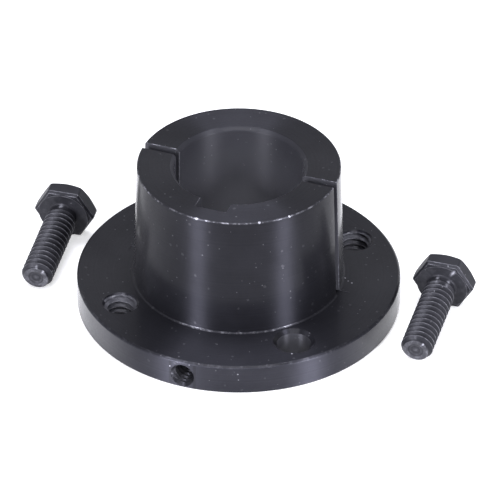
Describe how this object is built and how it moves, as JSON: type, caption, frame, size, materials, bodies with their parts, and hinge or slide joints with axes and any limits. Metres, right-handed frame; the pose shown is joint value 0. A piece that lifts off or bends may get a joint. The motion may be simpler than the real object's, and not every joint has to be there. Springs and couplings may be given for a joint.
{
  "type": "split taper bushing",
  "caption": "Flanged steel bushing with a tapered, sawn barrel, keyed bore and screw holes; its loose hex cap screws lie beside it.",
  "frame": {"origin": "centre of the bore at the flange's back face, which the bushing stands on", "axes": "+Z along the bore towards the barrel's small end, keyway on the -Y side, saw slots along X"},
  "size_m": [0.0909, 0.0634, 0.0318],
  "materials": {
    "bushing_steel": "black oxide over turned steel, satin",
    "screw_steel": "black oxide over rolled and forged steel, satin"
  },
  "bodies": {
    "root": {"split_bushing": "bushing_steel", "cap_screw_left": "screw_steel", "cap_screw_right": "screw_steel"}
  },
  "joints": []
}
